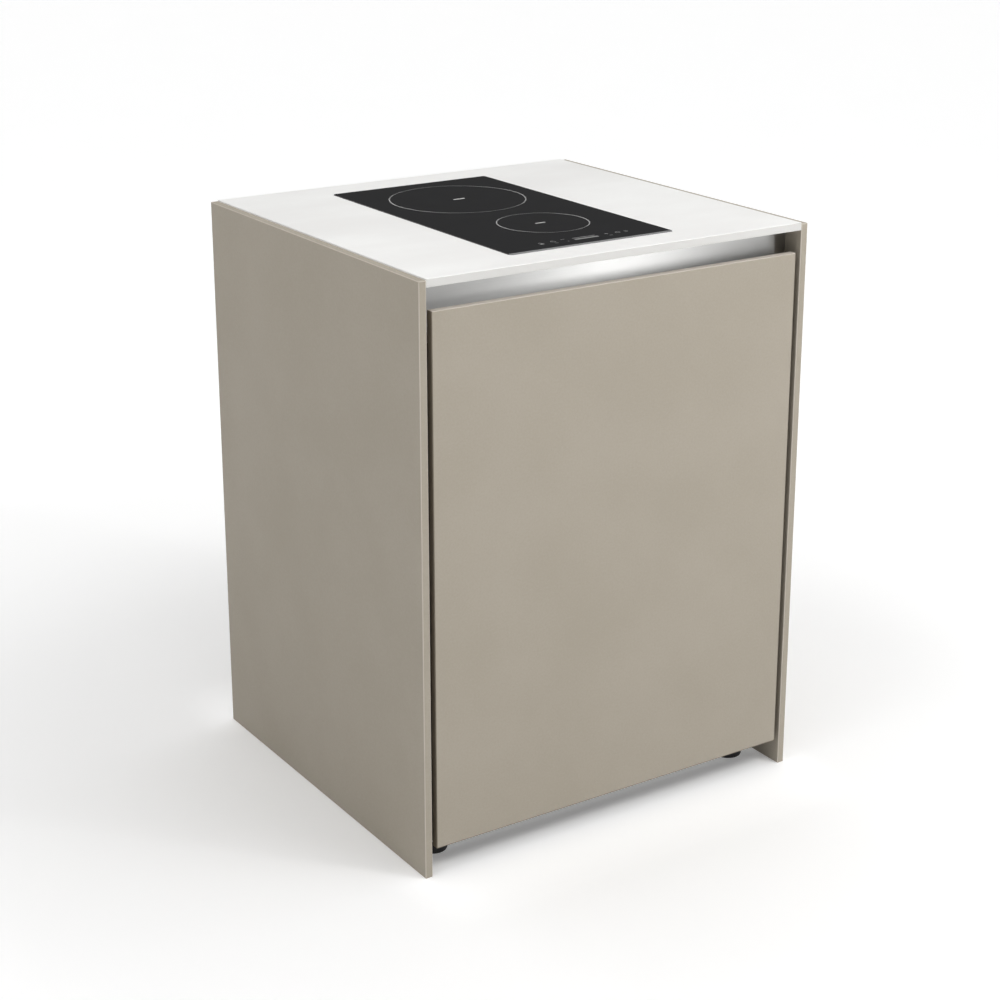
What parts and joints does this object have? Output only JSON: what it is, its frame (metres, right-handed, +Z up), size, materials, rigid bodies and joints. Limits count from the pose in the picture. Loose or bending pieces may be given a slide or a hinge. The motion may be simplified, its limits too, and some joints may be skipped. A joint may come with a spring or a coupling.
{
  "type": "mini kitchen unit",
  "caption": "Free-standing mini kitchen block with a glass induction hob, a steel finger channel and a handle-less pull-out front that carries boxes on telescopic runners.",
  "frame": {"origin": "centre of the footprint on the floor, midway between the side panels and midway from front to back", "axes": "+X to the right as seen from the front, +Y towards the back, +Z up; the pull-out front faces -Y"},
  "size_m": [0.684, 0.636, 0.901],
  "materials": {
    "greige_board": "matt lacquered board",
    "white_slab": "honed white slab",
    "graphite_board": "graphite laminated board",
    "channel_steel": "brushed along its length",
    "zinc_steel": "zinc plated",
    "shield_board": "fibre cement, raw",
    "black_plastic": "moulded, fine texture",
    "hob_glass": "polished black glass ceramic",
    "seal_foam": "closed foam strip",
    "aluminium": "mill finish",
    "carrier_mica": "pressed mica",
    "ferrite": "sintered",
    "copper": "enamelled litz wire",
    "sensor_ceramic": "glazed",
    "circuit_board": "solder mask",
    "components": "sleeved",
    "white_plastic": "moulded",
    "oak_board": "oiled oak"
  },
  "bodies": {
    "cabinet": {"side_panel_left": "greige_board", "side_panel_right": "greige_board", "worktop": "white_slab", "back_panel": "greige_board", "finger_channel": "channel_steel", "carcass_side_left": "graphite_board", "carcass_side_right": "graphite_board", "carcass_floor": "graphite_board", "front_rail": "graphite_board", "rear_rail": "graphite_board", "hob_shield": "shield_board", "shield_cleats": "graphite_board", "worktop_brackets": "zinc_steel", "bracket_screws": "zinc_steel", "carcass_screws": "zinc_steel", "panel_screws": "zinc_steel", "cable_grommet": "black_plastic", "foot_sockets": "black_plastic", "hob_glass": "hob_glass", "hob_seal": "seal_foam", "hob_tray": "zinc_steel", "hob_clamps": "zinc_steel", "coil_plate": "aluminium", "tray_posts": "zinc_steel", "coil_carriers": "carrier_mica", "ferrite_bars": "ferrite", "coil_rear": "copper", "coil_front": "copper", "temperature_sensors": "sensor_ceramic", "power_board": "circuit_board", "board_components": "components", "heat_sink": "aluminium", "fan_housing": "black_plastic", "fan_cover": "black_plastic", "fan_motor": "zinc_steel", "touch_board": "circuit_board", "touch_frame": "black_plastic", "terminal_block": "white_plastic", "cable_gland": "black_plastic", "lower_runner_outers": "zinc_steel", "upper_runner_outers": "zinc_steel", "runner_screws_cabinet": "zinc_steel"},
    "pull_out": {"front_panel": "greige_board", "front_screws": "zinc_steel", "lower_box_walls": "oak_board", "lower_box_base": "oak_board", "upper_box_walls": "oak_board", "upper_box_base": "oak_board", "lower_runner_inners": "zinc_steel", "upper_runner_inners": "zinc_steel", "runner_screws_box": "zinc_steel"},
    "runner_middles": {"lower_runner_middles": "zinc_steel", "upper_runner_middles": "zinc_steel"},
    "outer_cages": {"outer_ball_cages": "zinc_steel"},
    "inner_cages": {"inner_ball_cages": "zinc_steel"},
    "fan": {"fan_impeller": "black_plastic"},
    "foot_fl": {"foot_front_left": "black_plastic"},
    "foot_fr": {"foot_front_right": "black_plastic"},
    "foot_rl": {"foot_rear_left": "black_plastic"},
    "foot_rr": {"foot_rear_right": "black_plastic"}
  },
  "joints": [
    {"name": "pull_out_slide", "type": "slide", "parent": "cabinet", "child": "pull_out", "axis": [0, -1, 0], "range_m": [0, 0.45]},
    {"name": "runner_middle_slide", "type": "slide", "parent": "cabinet", "child": "runner_middles", "axis": [0, -1, 0], "range_m": [0, 0.225]},
    {"name": "outer_cage_slide", "type": "slide", "parent": "cabinet", "child": "outer_cages", "axis": [0, -1, 0], "range_m": [0, 0.1125]},
    {"name": "inner_cage_slide", "type": "slide", "parent": "cabinet", "child": "inner_cages", "axis": [0, -1, 0], "range_m": [0, 0.3375]},
    {"name": "fan_spin", "type": "hinge", "parent": "cabinet", "child": "fan", "pos_m": [-0.074, 0.166, 0.861], "axis": [0, 0, 1], "continuous": true},
    {"name": "foot_fl_level", "type": "slide", "parent": "cabinet", "child": "foot_fl", "axis": [0, 0, 1], "range_m": [-0.01, 0.008]},
    {"name": "foot_fr_level", "type": "slide", "parent": "cabinet", "child": "foot_fr", "axis": [0, 0, 1], "range_m": [-0.01, 0.008]},
    {"name": "foot_rl_level", "type": "slide", "parent": "cabinet", "child": "foot_rl", "axis": [0, 0, 1], "range_m": [-0.01, 0.008]},
    {"name": "foot_rr_level", "type": "slide", "parent": "cabinet", "child": "foot_rr", "axis": [0, 0, 1], "range_m": [-0.01, 0.008]}
  ],
  "couplings": [
    {"joint": "runner_middle_slide", "follows": "pull_out_slide", "ratio": 0.5},
    {"joint": "outer_cage_slide", "follows": "pull_out_slide", "ratio": 0.25},
    {"joint": "inner_cage_slide", "follows": "pull_out_slide", "ratio": 0.75}
  ]
}
